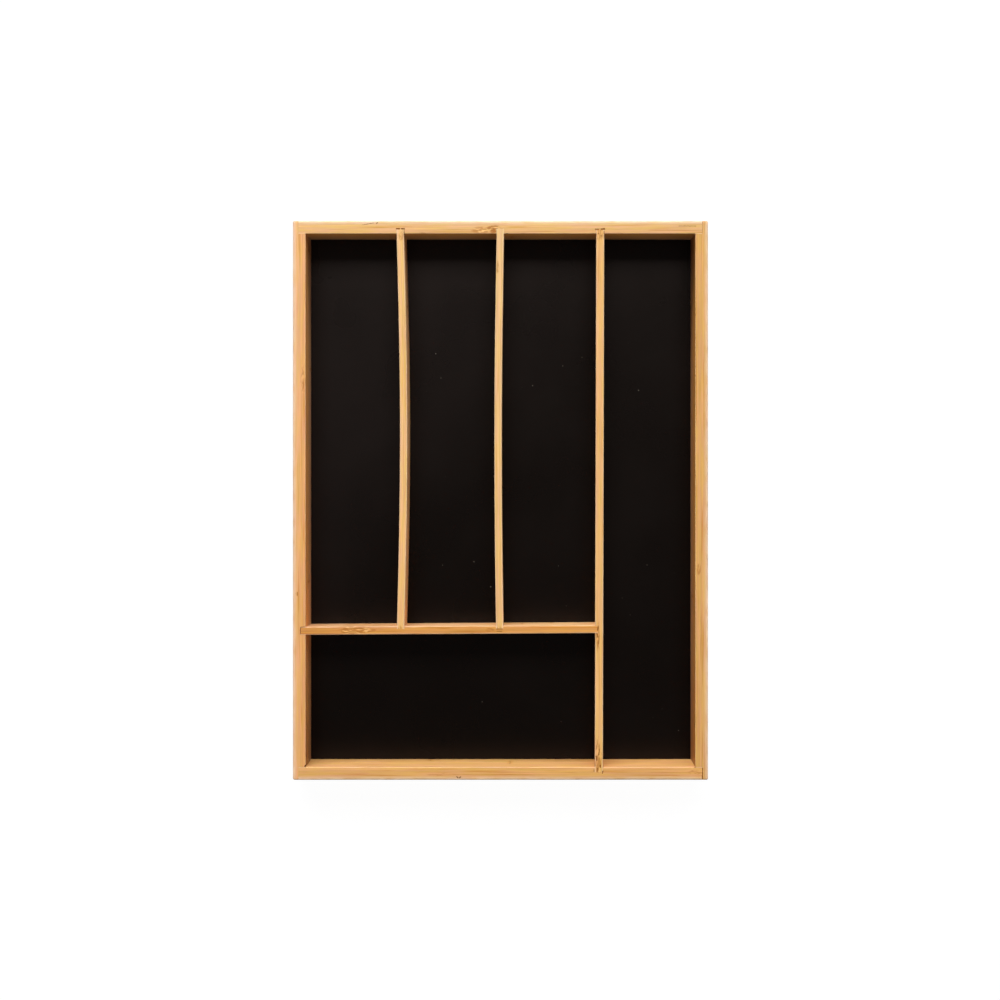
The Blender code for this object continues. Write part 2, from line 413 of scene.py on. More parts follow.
def build_boards():
    """The eight bamboo boards with their joints. Returns them, and where each lies."""
    boards, cutters, bends = {}, [], {}
    places = dict(WALL_PLACES)
    for name in ("left_wall", "right_wall"):
        shape = side_wall(SEEDS[name], NICKS[name])
        boards[name] = make(name + "_board", shape, places[name])
    for name, gaps in CORNER_GAPS.items():
        shape = end_wall(SEEDS[name], NICKS[name], gaps)
        boards[name] = make(name + "_board", shape, places[name])
        half = TRAY_WIDTH / 2 - CORNER_LIP
        low, high = (-WALL / 2 - TIGHT, -half), (WALL, half)
        room = uneven_prism(low, high, [CORNER_ROUGH] * 4, SEEDS[name])
        sides = boards["left_wall"], boards["right_wall"]
        cutters.append(cut(sides, room, places[name]))

    def slat_between(name, ends, thickness, depths, hosts, bow=0.0, lean=0.0):
        """Adds a divider between two points, and cuts its housings into its hosts."""
        start, end = (Vector(point) for point in ends)
        run = end - start
        length = run.length
        places[name] = plan((start + end) / 2, -math.atan2(run.x, run.y))
        shape = slat(SEEDS[name], NICKS[name], length, thickness, depths, bow, lean)
        boards[name] = make(name + "_slat", shape, places[name])
        bends[name] = ((depths[0] - length / 2, length / 2 - depths[1], bow), lean)
        gaps, roughs = HOUSINGS[name]
        half = thickness / 2 + TIGHT
        low, high = (-half, -length / 2 - gaps[0]), (half, length / 2 + gaps[1])
        room = uneven_prism(low, high, roughs, SEEDS[name], lean=lean)
        cutters.append(cut([boards[host] for host in hosts], room, places[name]))

    back = INSIDE_Y + IN_WALL
    slat_between(
        "divider_right",
        ((RIGHT_LINE[0], -back), (RIGHT_LINE[1], back)),
        DIVIDER,
        (IN_WALL, IN_WALL),
        hosts=("front_wall", "back_wall"),
        lean=RIGHT_LEAN,
    )
    west = -INSIDE_X - IN_WALL
    east = between(CROSS_LINE[1], -back, back, RIGHT_LINE) - DIVIDER / 2 + IN_SLAT
    slat_between(
        "cross_divider",
        ((west, CROSS_LINE[0]), (east, CROSS_LINE[1])),
        DIVIDER,
        (IN_WALL, IN_SLAT),
        hosts=("left_wall", "divider_right"),
        lean=CROSS_LEAN,
    )
    for name, line, bow in (
        ("divider_left", LEFT_LINE, LEFT_BOW),
        ("divider_middle", MIDDLE_LINE, MIDDLE_BOW),
    ):
        front = between(line[0], west, east, CROSS_LINE) + DIVIDER / 2 - IN_SLAT
        slat_between(
            name,
            ((line[0], front), (line[1], back)),
            SPRUNG_DIVIDER,
            (IN_SLAT, IN_WALL),
            hosts=("cross_divider", "back_wall"),
            bow=bow,
        )
    for number, (hosts, centre, length, width, depth, turn) in enumerate(CHIPS):
        half = Vector((length, width)) * MM / 2
        bottom = TRAY_HEIGHT - depth * MM
        chip = uneven_prism(-half, half, [RAGGED] * 4, number, bottom, step=CHIP_STEP)
        place = plan((centre[0] * MM, centre[1] * MM), math.radians(turn))
        cutters.append(cut([boards[host] for host in hosts], chip, place))
    settle(boards, cutters)
    for name, board in boards.items():
        dress(board, *bends.get(name, ()))
    return boards, places


# The shader wiring


class Wiring:
    """Lays out a node tree. Most calls add one node and give its output, or its outputs."""

    def __init__(self, tree):
        self.tree = tree

    def feed(self, node, given):
        """Sets or links a node's inputs."""
        for label, value in given.items():
            if isinstance(value, bpy.types.NodeSocket):
                self.tree.links.new(value, node.inputs[label])
            else:
                node.inputs[label].default_value = value

    def node(self, kind, given=None, **settings):
        node = self.tree.nodes.new("ShaderNode" + kind)
        for setting, value in settings.items():
            setattr(node, setting, value)
        self.feed(node, given or {})
        return node

    def math(self, operation, *values, clamp=False):
        given = dict(enumerate(values))
        return self.node("Math", given, operation=operation, use_clamp=clamp).outputs[0]

    def times(self, first, second):
        return self.math("MULTIPLY", first, second)

    def vector(self, operation, *values):
        return self.node("VectorMath", dict(enumerate(values)), operation=operation).outputs[0]

    def length(self, value):
        return self.node("VectorMath", {0: value}, operation="LENGTH").outputs["Value"]

    def scaled(self, value, factor):
        given = {0: value, "Scale": factor}
        return self.node("VectorMath", given, operation="SCALE").outputs[0]

    def parts(self, value):
        return self.node("SeparateXYZ", {0: value}).outputs

    def joined(self, x=0.0, y=0.0, z=0.0):
        return self.node("CombineXYZ", {0: x, 1: y, 2: z}).outputs[0]

    def mix(self, share, first, second, blend="MIX"):
        given = {0: share, 6: first, 7: second}
        return self.node("Mix", given, data_type="RGBA", blend_type=blend).outputs[2]

    def ramp(self, value, start, end, low=0.0, high=1.0):
        given = {"Value": value, "From Min": start, "From Max": end, "To Min": low, "To Max": high}
        return self.node("MapRange", given, interpolation_type="SMOOTHSTEP").outputs[0]

    def linear(self, value, start, end):
        given = {"Value": value, "From Min": start, "From Max": end}
        return self.node("MapRange", given).outputs[0]

    def noise(self, place, scale=1.0, detail=2.0, roughness=0.5):
        given = {"Vector": place, "Scale": scale, "Detail": detail, "Roughness": roughness}
        return self.node("TexNoise", given).outputs[0]

    def random(self, place):
        return self.node("TexWhiteNoise", {"Vector": place}, noise_dimensions="3D").outputs[0]

    def bump(self, height, strength, depth):
        given = {"Height": height, "Strength": strength, "Distance": depth}
        return self.node("Bump", given).outputs[0]

    def group(self, tree, given):
        """An effect's outputs. It takes the given values that it has inputs for."""
        node = self.node("Group", node_tree=tree)
        self.feed(node, {label: given[label] for label in node.inputs.keys()})
        return node.outputs

    def over(self, tone, mask, colour, strength, blend="MIX"):
        """A tone with a colour over it where the mask is, as strong as said."""
        return self.mix(self.times(mask, strength), tone, colour, blend)

    def total(self, start, factors, marks):
        """A start value, plus each mark times its factor."""
        total = start
        for label, factor in factors.items():
            total = self.math("MULTIPLY_ADD", marks[label], factor, total)
        return total


# The kinds of the effects' sockets that aren't plain values
COLOURS = ("Inner", "Outer", "Start tint", "End tint", "Inner face", "Outer face", "Colour")
KINDS = {
    **dict.fromkeys(("Place", "Centre", "Reach"), "NodeSocketVector"),
    **dict.fromkeys(COLOURS, "NodeSocketColor"),
}


def effect(name, lay_out, inputs, outputs):
    """A node group with named inputs and outputs."""
    tree = bpy.data.node_groups.new(name, "ShaderNodeTree")
    for way, labels in (("OUTPUT", outputs), ("INPUT", inputs)):
        for label in labels:
            kind = KINDS.get(label, "NodeSocketFloat")
            tree.interface.new_socket(label, in_out=way, socket_type=kind)
    entry = tree.nodes.new("NodeGroupInput")
    leaving = tree.nodes.new("NodeGroupOutput")
    for label, socket in lay_out(Wiring(tree), entry.outputs).items():
        tree.links.new(socket, leaving.inputs[label])
    return tree


# The bamboo's pattern. Lengths are in millimetres, and waves are how often a pattern comes back
# in one: across, along and up a board. An edge is the two values between which a mark fades in
# or out. Numbers that multiply or join a seed only keep boards and strips apart.
SEAM_WAVES = 1 / 70  # along a board alone
SEAM_WANDER = 2.2
SEAM_EDGE = (0.02, 0.16)
BROAD_WAVES = (0.75, 1 / 46, 0.42)
BLUSH_WAVES = (0.55, 1 / 22, 0.35)
BLUSH_EDGE = (0.36, 0.64)
LINE_WAVES = (1.5, 1 / 45, 1.0)
LINE_EDGE = (0.56, 0.66)
FIBRE_WAVES = (7.0, 1 / 7, 5.0)
WAVER_WAVES = (0.35, 0.15, 0.2)
KNUCKLE_WAVER = 1.2  # how far a knuckle's outline wavers, as a share of its reach
KNUCKLE_EDGE = (0.6, 1.05)
KNUCKLE_SWIRL = 2.4
DASH_WAVES = (1.4, 0.22, 0.4)
DARK_EDGE = (0.47, 0.53)
CREAM_EDGE = (0.41, 0.47)
ROW_WAVES = 0.35  # the same every way
ROW_WAVER = 2.4
ROW_TOP = 0.3
BAND_EDGE = (0.7, 2.6)
RIDGE_EDGE = (0.15, 0.75)
MIDDLE = (-0.1, 0.1)  # where a board's inner half turns into its outer one
HIGHLIT_WEAR_WAVES = (0.3, 0.09, 0.3)
HIGHLIT_WEAR_EDGE = (0.3, 0.6)
LEAST_HIGHLIT_WEAR = 0.45  # how strong the pale arris, rubbing and painted highlight, still is in a gap
BUNDLES = 1.9  # cut bundles in a millimetre of end grain
BUNDLE_SCATTER = 0.85
BUNDLE_EDGE = (0.16, 0.34)


def strips(w, given):
    """The strips that a board is glued up from: layers through its thickness, rows up its face.
    Their seams wander a little, because no strip is quite straight."""
    across, along, up = w.parts(given["Place"])
    drift_at = w.joined(w.times(along, SEAM_WAVES), w.times(given["Seed"], 7.3))
    drift = w.math("SUBTRACT", w.noise(drift_at, detail=3.0), 0.5)
    wandered = w.math("MULTIPLY_ADD", drift, SEAM_WANDER, across)
    shift = w.math("MULTIPLY_ADD", given["Seed"], 0.37, 0.2)
    layer = w.math("ADD", w.math("DIVIDE", wandered, given["Layer"]), shift)
    row = w.math("DIVIDE", w.math("ADD", drift, up), given["Row"])
    cell = w.joined(w.math("FLOOR", layer), w.math("FLOOR", row), given["Seed"])
    seams = []
    for line, size in ((layer, given["Layer"]), (row, given["Row"])):
        off = w.math("PINGPONG", line, 0.5)
        seams.append(w.ramp(w.times(off, size), *SEAM_EDGE, 1.0, 0.0))
    return {
        "Strip": w.random(cell),
        "Other": w.random(w.vector("ADD", cell, (17.0, 5.0, 3.0))),
        "Seam": w.math("MAXIMUM", *seams),
    }


def grain(w, given):
    """Streaks and fibres along the board, different in each strip."""
    own = w.scaled((13.1, 71.7, 29.3), given["Strip"])
    moved = w.vector("ADD", given["Place"], own)
    place = w.vector("ADD", moved, w.scaled((5.0, 191.0, 83.0), given["Seed"]))
    broad = w.noise(w.vector("MULTIPLY", place, BROAD_WAVES), detail=3.0, roughness=0.55)
    blush = w.noise(w.vector("MULTIPLY", place, BLUSH_WAVES), detail=3.0, roughness=0.6)
    lines = w.noise(w.vector("MULTIPLY", place, LINE_WAVES))
    fibre = w.noise(w.vector("MULTIPLY", place, FIBRE_WAVES), detail=3.0, roughness=0.65)
    return {
        "Streak": broad,
        "Blush": w.ramp(blush, *BLUSH_EDGE),
        "Line": w.ramp(lines, *LINE_EDGE),
        "Fibre": fibre,
    }


def knuckle(w, given):
    """One knuckle of the cane, where the fibres waver and break into dark and pale dashes."""
    seeded = w.vector("ADD", given["Place"], w.scaled((31.0, 17.0, 9.0), given["Seed"]))
    waver = w.math("SUBTRACT", w.noise(w.vector("MULTIPLY", seeded, WAVER_WAVES)), 0.5)
    off = w.vector("DIVIDE", w.vector("SUBTRACT", given["Place"], given["Centre"]), given["Reach"])
    wavered = w.math("MULTIPLY_ADD", waver, KNUCKLE_WAVER, w.length(off))
    inside = w.ramp(wavered, *KNUCKLE_EDGE, 1.0, 0.0)
    swirled = w.vector("ADD", seeded, w.joined(w.times(waver, KNUCKLE_SWIRL)))
    marks = w.noise(w.vector("MULTIPLY", swirled, DASH_WAVES))
    dark_marks = w.times(w.ramp(marks, *DARK_EDGE), inside)
    pale_marks = w.times(w.ramp(marks, *CREAM_EDGE, 1.0, 0.0), inside)
    return {
        "Body": w.times(inside, w.math("MAXIMUM", given["Dark"], given["Light"])),
        "Dash": w.times(dark_marks, given["Dark"]),
        "Cream": w.times(pale_marks, given["Light"]),
    }


def knuckle_rows(w, given):
    """A knuckle across each strip below the top row, at a place of the strip's own."""
    _, along, up = w.parts(given["Place"])
    waver = w.math("SUBTRACT", w.noise(given["Place"], scale=ROW_WAVES, detail=3.0), 0.5)
    wavered = w.math("MULTIPLY_ADD", waver, ROW_WAVER, along)
    turn = w.math("ADD", w.math("DIVIDE", wavered, KNUCKLE_SPACING), given["Other"])
    off = w.times(w.math("PINGPONG", turn, 0.5), KNUCKLE_SPACING)
    top = w.math("SUBTRACT", given["Top"], given["Row"])
    below = w.ramp(up, top, w.math("ADD", top, ROW_TOP), 1.0, 0.0)
    band = w.times(w.ramp(off, *BAND_EDGE, 1.0, 0.0), below)
    ridge = w.times(w.ramp(off, *RIDGE_EDGE, 1.0, 0.0), below)
    return {"Band": band, "Ridge": ridge}


def highlit_wear_arris(w, given):
    """Where hands and sanding have left the long arrises pale, with gaps; that pale tone is also a
    painted highlight along them.
    """
    across, _, up = w.parts(given["Place"])
    side = w.math("SUBTRACT", given["Half"], w.math("ABSOLUTE", across))
    reach = w.ramp(across, *MIDDLE, given["Highlit wear inside"], given["Highlit wear outside"])
    edge = w.math("MINIMUM", w.math("SUBTRACT", given["Top"], up), w.math("ABSOLUTE", up))
    away = w.math("MAXIMUM", side, edge)
    # Partly wear from rubbing, partly painted highlight along the arris
    highlit_wear = w.ramp(away, 0.0, reach, 1.0, 0.0)
    gaps = w.noise(w.vector("MULTIPLY", given["Place"], HIGHLIT_WEAR_WAVES), detail=3.0)
    return {"Highlit wear": w.times(highlit_wear, w.ramp(gaps, *HIGHLIT_WEAR_EDGE, LEAST_HIGHLIT_WEAR, 1.0))}


def cut_ends(w, given):
    """End grain: darker, with the dark dots of the cut bundles. Bared wood: torn and stained."""
    end = w.node("Attribute", attribute_name="end_grain").outputs["Fac"]
    flat = w.vector("MULTIPLY", given["Place"], (1.0, 0.0, 1.0))
    spread_out = {"Vector": flat, "Scale": BUNDLES, "Randomness": BUNDLE_SCATTER}
    cells = w.node("TexVoronoi", spread_out).outputs[0]
    bared = w.node("Attribute", attribute_name="bared").outputs["Fac"]
    dots = w.times(end, w.ramp(cells, *BUNDLE_EDGE, 1.0, 0.0))
    return {"End": end, "Dots": dots, "Bared": bared}


def ground_tone(w, given):
    """A board's colour before its grain: from side to side, from end to end, and down its faces,
    where some walls get painted light near the rim, painted shade towards the base, and painted
    shade at their ends."""
    across, along, up = w.parts(given["Place"])
    half, reach, rim = given["Half"], given["Half length"], given["Top"]
    share = w.ramp(across, w.times(half, -1.0), half)
    far = w.linear(along, w.times(reach, -1.0), reach)
    tone = w.mix(share, given["Inner"], given["Outer"])
    # Partly the board's own tone, partly painted light that falls off along it
    tone = w.mix(1.0, tone, w.mix(far, given["Start tint"], given["End tint"]), "MULTIPLY")

    # Painted light and painted shade below the rim, face by face, with the broad side's own paler
    # tone
    face = w.mix(1.0, tone, w.mix(share, given["Inner face"], given["Outer face"]), "MULTIPLY")
    # Painted shade: the inner face gets darker towards its start and its end, where the walls
    # beside it cast shadow
    shade_at_start = w.times(w.ramp(far, 0.0, SHADED_END_SHARE, 1.0, 0.0), given["Start shade"])
    shade_at_end = w.times(w.ramp(far, 1.0 - SHADED_END_SHARE, 1.0), given["End shade"])
    unshaded = w.math("SUBTRACT", 1.0, w.math("ADD", shade_at_start, shade_at_end))
    # Painted light near the rim and painted shade towards the base, on those walls' inner faces
    sunk = w.ramp(up, BASE_HIGH.z / MM, w.math("SUBTRACT", rim, FULLY_LIT_BELOW_RIM), 1.0, 0.0)
    depth_shaded = w.mix(1.0, w.scaled(face, unshaded), w.mix(sunk, LIT_NEAR_RIM, SHADED_NEAR_BASE), "MULTIPLY")
    inward = w.times(w.ramp(across, *MIDDLE, 1.0, 0.0), given["Depth shading"])
    face = w.mix(inward, face, depth_shaded)
    full, gone = (w.math("SUBTRACT", rim, depth) for depth in RIM_FADE)
    return w.mix(w.ramp(up, full, gone, 1.0, 0.0), tone, face)


def grained(w, tone, found):
    """That colour with its strips and patches, streaks, fibres, dark lines and seams."""
    blushed = w.mix(STRIP_SHARE, found["Blush"], found["Strip"])
    tone = w.mix(1.0, tone, w.mix(blushed, GOLDEN, ROSY), "MULTIPLY")
    tone = w.scaled(tone, w.ramp(found["Streak"], *STREAK_EDGE, *STREAK_TONES))
    tone = w.scaled(tone, w.ramp(found["Fibre"], *FIBRE_EDGE, *FIBRE_TONES))
    tone = w.over(tone, found["Line"], DARK_LINE, found["Streaks"], "MULTIPLY")
    seams = w.times(found["Streaks"], SEAM_SHARE)
    return w.over(tone, found["Seam"], SEAM, seams, "MULTIPLY")


ARRIS_INPUTS = ("Place", "Half", "Top", "Highlit wear inside", "Highlit wear outside")
KNUCKLE_INPUTS = ("Place", "Centre", "Reach", "Dark", "Light", "Seed")
SURFACE_INPUTS = (
    *("Place", "Inner", "Outer", "Start tint", "End tint", "Inner face", "Outer face"),
    *("Layer", "Row", "Start shade", "End shade", "Depth shading", "Half", "Half length", "Top"),
    *("Highlit wear inside", "Highlit wear outside", "Streaks", "Seed", "Body", "Dash", "Cream"),
)


def build_effects():
    """Each shared effect, built once."""
    made = {}
    for name, lay_out, inputs, outputs in (
        ("strips", strips, ("Place", "Layer", "Row", "Seed"), ("Strip", "Other", "Seam")),
        ("grain", grain, ("Place", "Strip", "Seed"), ("Streak", "Blush", "Line", "Fibre")),
        ("knuckle_rows", knuckle_rows, ("Place", "Other", "Row", "Top"), ("Band", "Ridge")),
        ("highlit_wear_arris", highlit_wear_arris, ARRIS_INPUTS, ("Highlit wear",)),
        ("cut_ends", cut_ends, ("Place",), ("End", "Dots", "Bared")),
        ("knuckle", knuckle, KNUCKLE_INPUTS, ("Body", "Dash", "Cream")),
    ):
        made[name] = effect("bamboo_" + name, lay_out, inputs, outputs)

    def surface(w, given):
        """A board's whole surface. Each effect may read what those before it found."""
        found = dict(given.items())
        for name in ("strips", "grain", "knuckle_rows", "highlit_wear_arris", "cut_ends"):
            found.update(w.group(made[name], found).items())
        body = w.math("MAXIMUM", found["Body"], w.times(found["Band"], ROW_BODY))
        dash = w.math("MAXIMUM", found["Dash"], w.times(found["Ridge"], ROW_DASH))
        tone = grained(w, ground_tone(w, found), found)
        tone = w.over(tone, body, AMBER, AMBER_SHARE, "MULTIPLY")
        tone = w.over(tone, found["Cream"], *CREAM_DASHES)
        # Pale arrises: partly wear from rubbing, partly painted highlight
        tone = w.over(tone, found["Highlit wear"], *HIGHLIT_WEAR_TONE)
        tone = w.over(tone, dash, *DARK_DASHES)
        cut_tone = w.mix(found["Dots"], END_GRAIN, CUT_BUNDLES)
        tone = w.over(tone, found["End"], cut_tone, END_SHARE)
        tone = w.over(tone, found["Bared"], *BARED_WOOD)
        marks = {**found, "Dash": dash}
        return {
            "Colour": w.vector("MINIMUM", tone, (1.0, 1.0, 1.0)),
            "Roughness": w.total(ROUGHNESS, ROUGHER, marks),
            "Relief": w.total(RELIEF, RAISED, marks),
        }

    outputs = ("Colour", "Roughness", "Relief")
    made["surface"] = effect("bamboo_surface", surface, SURFACE_INPUTS, outputs)
    return made


# The finishes

# Each board's colour on screen at its inner side and at its outer one (left and right for a
# divider, back and front for the cross divider), and the thickness of its strips in millimetres
TONES = {
    "left_wall": ((233, 173, 103), (237, 180, 122), 5.1),
    "right_wall": ((224, 171, 102), (222, 171, 104), 2.7),
    "back_wall": ((231, 179, 120), (236, 187, 131), 3.9),
    "front_wall": ((232, 176, 103), (221, 166, 97), 2.8),
    "divider_left": ((241, 191, 129), (237, 188, 121), 2.4),
    "divider_middle": ((235, 192, 121), (234, 190, 119), 2.4),
    "divider_right": ((241, 190, 114), (234, 184, 112), 2.6),
    "cross_divider": ((223, 159, 80), (221, 157, 80), 2.5),
}
# What each board's colour is multiplied by at its start and its end: front and back for the right
# wall and the dividers, back and front for the left wall, right and left for the back wall, left
# and right for the front wall and the cross divider. It is partly the boards' own tone and partly
# painted light, which on the left, back and front walls falls off from the back left
TINTS_AND_FALLOFF = {
    "left_wall": ((1.0, 1.03, 1.07), (0.98, 0.94, 0.88)),
    "right_wall": ((0.98, 0.95, 0.95), (0.98, 0.96, 0.86)),
    "back_wall": ((0.94, 0.92, 0.88), (1.02, 1.02, 1.0)),
    "front_wall": ((1.0, 1.01, 1.01), (0.99, 0.98, 0.94)),
    "divider_left": ((1.02, 0.98, 1.0), (0.98, 1.0, 1.0)),
    "divider_middle": ((1.02, 0.97, 0.90), (1.0, 1.03, 1.05)),
    "divider_right": ((0.99, 0.98, 0.90), (0.97, 0.95, 1.0)),
    "cross_divider": ((0.95, 0.88, 0.90), (1.04, 1.06, 1.02)),
}
# What it is multiplied by below the rim, on the board's inner and outer face: a strip's broad side
# is paler than the edge grain, painted light brightens some faces further, and painted shade
# darkens both of the back wall's faces
PLAIN = (1.0, 1.0, 1.0)
FACE_TONES_AND_LIGHT = {
    "left_wall": ((1.02, 1.05, 1.25), PLAIN),
    "right_wall": ((1.08, 1.0, 1.2), PLAIN),
    "back_wall": ((0.86, 0.80, 0.80), (0.74, 0.72, 0.72)),
    "front_wall": ((1.13, 1.19, 1.40), PLAIN),
    "divider_left": (PLAIN, (1.15, 1.15, 1.40)),
    "divider_middle": (PLAIN, (1.10, 1.10, 1.20)),
    "divider_right": (PLAIN, PLAIN),
    "cross_divider": ((1.25, 1.66, 3.50), PLAIN),
}
RIM_FADE = (1.1, 0.4)  # millimetres below the rim where that is full, and where it is gone
# The walls whose inner faces get painted light, golden near the rim, and painted shade, dull
# towards the base; on the side walls painted shade also darkens them at the start and at the end
DEPTH_SHADED_ONES = ("left_wall", "right_wall", "back_wall")
LIT_NEAR_RIM = (1.12, 1.03, 0.62, 1.0)
SHADED_NEAR_BASE = (0.74, 0.82, 1.0, 1.0)
FULLY_LIT_BELOW_RIM = 2.0  # millimetres below the rim, above which the painted light is full
# How strongly painted shade darkens a side wall's inner face at its start and at its end
END_SHADE = {"left_wall": (0.10, 0.55), "right_wall": (0.42, 0.58)}
SHADED_END_SHARE = 0.25  # share of a board's length that each end's painted shade takes up
# What the strips and patches multiply that colour by, at their most golden and their most rosy
GOLDEN = (0.99, 1.05, 0.76, 1.0)
ROSY = (1.02, 0.945, 1.30, 1.0)
STRIP_SHARE = 0.4  # how far the strips decide it, and not the patches
STREAK_EDGE = (0.28, 0.72)
STREAK_TONES = (1.07, 0.92)
FIBRE_EDGE = (0.3, 0.7)
FIBRE_TONES = (1.03, 0.965)
# What other marks multiply it by
DARK_LINE = (0.84, 0.68, 0.40, 1.0)
SEAM = (0.82, 0.72, 0.58, 1.0)
SEAM_SHARE = 0.7  # how strong a seam is, beside a dark line
AMBER = (0.90, 0.75, 0.48, 1.0)
AMBER_SHARE = 0.7
# What lies over it, and how strongly
CREAM_DASHES = (screen(255, 208, 134), 0.8)
# The pale tone over the arrises: partly wear from rubbing, partly painted highlight
HIGHLIT_WEAR_TONE = (screen(252, 227, 200), 0.56)
DARK_DASHES = (screen(170, 103, 34), 0.95)
BARED_WOOD = (screen(148, 84, 12), 0.95)
END_GRAIN = screen(196, 142, 84)
CUT_BUNDLES = screen(120, 76, 36)
END_SHARE = 0.85
# The satin lacquer's roughness and the wood's relief, and what each mark adds to them
ROUGHNESS = 0.40
ROUGHER = {"Fibre": 0.16, "Highlit wear": 0.08, "End": 0.18, "Bared": 0.3}
RELIEF = 0.25
RAISED = {"Fibre": 0.5, "Seam": -0.25, "Ridge": 0.5, "Dash": -0.15, "Dots": -0.8}

# Knuckles that show on the rim, in plan in millimetres: x, y, half length, half width, and how
# strong their dark and their pale dashes are
KNUCKLES = {
    "left_wall": ((-123.6, 75.5, 9.0, 1.7, 0.45, 0.4), (-127.4, -58.6, 1.6, 1.0, 0.8, 0.2)),
    "right_wall": ((124.2, -43.5, 4.0, 1.3, 0.5, 0.3),),
    "back_wall": (
        (-11.6, 169.4, 6.5, 2.2, 0.45, 1.0),
        (-4.6, 169.4, 5.8, 3.2, 1.0, 0.7),
    ),
    "front_wall": (
        (-36.0, -171.6, 9.0, 1.0, 0.4, 0.0),
        (121.4, -170.2, 4.6, 1.6, 0.45, 0.2),
    ),
    "divider_left": ((-62.3, 165.5, 3.5, 2.4, 0.4, 0.3), (-62.6, -82.0, 4.0, 2.6, 0.45, 0.75)),
    "divider_middle": ((-1.5, 146.0, 4.5, 1.0, 0.6, 0.3), (-0.5, -82.0, 3.5, 2.4, 0.5, 0.3)),
    "divider_right": (
        (61.0, -84.5, 9.5, 1.5, 0.7, 0.3),
        (61.3, -162.0, 13.0, 2.6, 0.65, 0.4),
        (62.5, 166.5, 4.5, 2.6, 0.5, 0.2),
    ),
    "cross_divider": ((-90.5, -81.4, 13.0, 2.6, 0.6, 0.8), (-7.0, -81.0, 3.0, 1.2, 0.6, 0.0)),
}
KNUCKLE_RISE = 8.0  # how far a rim's knuckle reaches down the faces
KNUCKLE_SPACING = 210.0  # between the knuckles of a row of strips
ROW_BODY = 0.7  # how strong their bodies and their ridges are
ROW_DASH = 0.55
STRIP_ROW = 17.3  # height of a strip's row on the faces
WALL_STREAKS = 0.85
SLAT_STREAKS = 0.7
STREAKS = {"cross_divider": 1.3, "back_wall": 1.0}  # boards with stronger ones
# How far the pale arris, partly rubbing and partly painted highlight, reaches from a board's inner
# and outer arris, in millimetres
WALL_HIGHLIT_WEAR = (0.5, 3.2)
SLAT_HIGHLIT_WEAR = (0.8, 0.9)
FIBRE_DEPTH = 0.00006
FIBRE_BUMP = 0.6
GLOSS = 0.25
COAT = 0.06
COAT_ROUGHNESS = 0.35


def new_finish(name):
    """A material with its shader, ready to wire."""
    material = bpy.data.materials.new(name)
    material.use_nodes = True
    shader = material.node_tree.nodes["Principled BSDF"]
    return material, shader, Wiring(material.node_tree)


def bamboo(name, place, half, half_length, effects):
    """One board's finish: laminated bamboo under a clear satin lacquer."""
    material, shader, w = new_finish("bamboo_" + name)
    inner, outer, layer = TONES[name]
    # Partly the board's own tone, partly painted light falling off along it
    start_tint, end_tint = TINTS_AND_FALLOFF[name]
    # Painted light and shade for the board's faces, with their own tone
    inner_face, outer_face = FACE_TONES_AND_LIGHT[name]
    # Painted shade at the start and the end of a side wall's inner face
    end_shading = END_SHADE.get(name, (0.0, 0.0))
    is_wall = name.endswith("wall")
    highlit_wear_reach = WALL_HIGHLIT_WEAR if is_wall else SLAT_HIGHLIT_WEAR
    where = w.node("Attribute", attribute_name="grain_place").outputs["Vector"]
    marks = {"Body": 0.0, "Dash": 0.0, "Cream": 0.0}
    for number, (x, y, reach, width, dark, light) in enumerate(KNUCKLES[name]):
        at = place.inverted() @ Vector((x * MM, y * MM, TRAY_HEIGHT)) / MM
        spot = {"Place": where, "Centre": tuple(at), "Reach": (width, reach, KNUCKLE_RISE)}
        kind = {"Dark": dark, "Light": light, "Seed": SEEDS[name] + number}
        found = w.group(effects["knuckle"], {**spot, **kind})
        marks = {label: w.math("MAXIMUM", found[label], mark) for label, mark in marks.items()}
    given = {
        "Place": where,
        "Inner": screen(*inner),
        "Outer": screen(*outer),
        "Layer": layer,
        "Row": STRIP_ROW,
        "Start tint": (*start_tint, 1.0),
        "End tint": (*end_tint, 1.0),
        "Inner face": (*inner_face, 1.0),
        "Outer face": (*outer_face, 1.0),
        "Start shade": end_shading[0],
        "End shade": end_shading[1],
        # Whether the inner face gets painted light near the rim and painted shade towards the base
        "Depth shading": float(name in DEPTH_SHADED_ONES),
        "Half": half / MM,
        "Half length": half_length / MM,
        "Top": TRAY_HEIGHT / MM,
        "Highlit wear inside": highlit_wear_reach[0],
        "Highlit wear outside": highlit_wear_reach[1],
        "Streaks": STREAKS.get(name, WALL_STREAKS if is_wall else SLAT_STREAKS),
        "Seed": SEEDS[name],
        **marks,
    }
    surface = w.group(effects["surface"], given)
    finish = {
        "Base Color": surface["Colour"],
        "Roughness": surface["Roughness"],
        "Normal": w.bump(surface["Relief"], FIBRE_BUMP, FIBRE_DEPTH),
        "Specular IOR Level": GLOSS,
        "Coat Weight": COAT,
        "Coat Roughness": COAT_ROUGHNESS,
    }
    w.feed(shader, finish)
    return material


